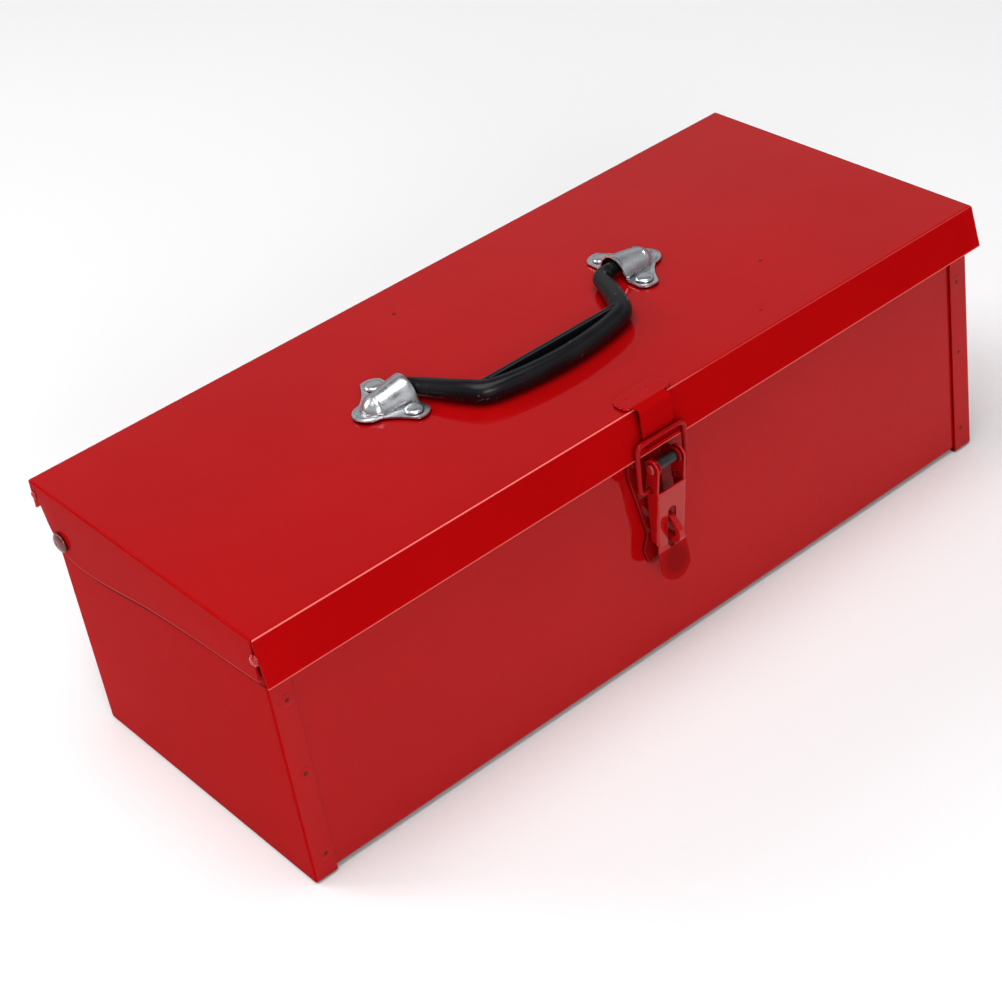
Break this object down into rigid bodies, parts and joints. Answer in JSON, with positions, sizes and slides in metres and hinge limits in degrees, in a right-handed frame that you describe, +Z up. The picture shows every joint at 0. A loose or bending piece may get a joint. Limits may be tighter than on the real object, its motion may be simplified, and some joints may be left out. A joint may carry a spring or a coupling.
{
  "type": "steel tool box",
  "caption": "Folded sheet-steel box with a hinged lid, a black folding bail handle in two riveted saddles, and a toggle latch with a padlock eye.",
  "frame": {"origin": "middle of the whole object's box, at the level the end panels' flanges stand on", "axes": "+X along the length with the latch on the -Y side, +Y to the hinge side, +Z up"},
  "size_m": [0.3538, 0.155, 0.122],
  "materials": {
    "red_paint": "glossy red enamel over steel",
    "worn_red_paint": "red enamel rubbed back to bare steel on the head",
    "zinc_plate": "bright zinc plate, stamped",
    "dark_steel": "dark oiled steel",
    "black_plastic": "semi-matt moulded black plastic"
  },
  "bodies": {
    "root": {"body_trough": "red_paint", "end_panel_left": "red_paint", "end_panel_right": "red_paint", "hinge_rivet_left": "worn_red_paint", "hinge_rivet_right": "worn_red_paint", "hinge_washer_left": "dark_steel", "hinge_washer_right": "dark_steel", "latch_base": "red_paint", "latch_pin": "dark_steel", "padlock_eye": "red_paint"},
    "lid": {"lid_shell": "red_paint", "latch_keeper": "red_paint", "handle_saddle_left": "zinc_plate", "handle_saddle_right": "zinc_plate", "saddle_rivet_left_front": "zinc_plate", "saddle_rivet_left_rear": "zinc_plate", "saddle_rivet_right_front": "zinc_plate", "saddle_rivet_right_rear": "zinc_plate"},
    "handle": {"handle_grip": "black_plastic"},
    "lever": {"latch_lever": "red_paint"},
    "loop": {"latch_loop": "red_paint"}
  },
  "joints": [
    {"name": "lid_hinge", "type": "hinge", "parent": "root", "child": "lid", "pos_m": [0, 0.0634, 0.0905], "axis": [-1, 0, 0], "range_deg": [0, 93]},
    {"name": "handle_swing", "type": "hinge", "parent": "lid", "child": "handle", "pos_m": [0, 0.0079, 0.1169], "axis": [-1, 0, 0], "range_deg": [0, 175]},
    {"name": "lever_pivot", "type": "hinge", "parent": "root", "child": "lever", "pos_m": [0, -0.073, 0.0899], "axis": [-1, 0, 0], "range_deg": [0, 105]},
    {"name": "loop_pivot", "type": "hinge", "parent": "lever", "child": "loop", "pos_m": [0, -0.0707, 0.0798], "axis": [-1, 0, 0], "range_deg": [-158, 0]}
  ],
  "couplings": [
    {"joint": "loop_pivot", "follows": "lever_pivot", "ratio": -1.5}
  ]
}
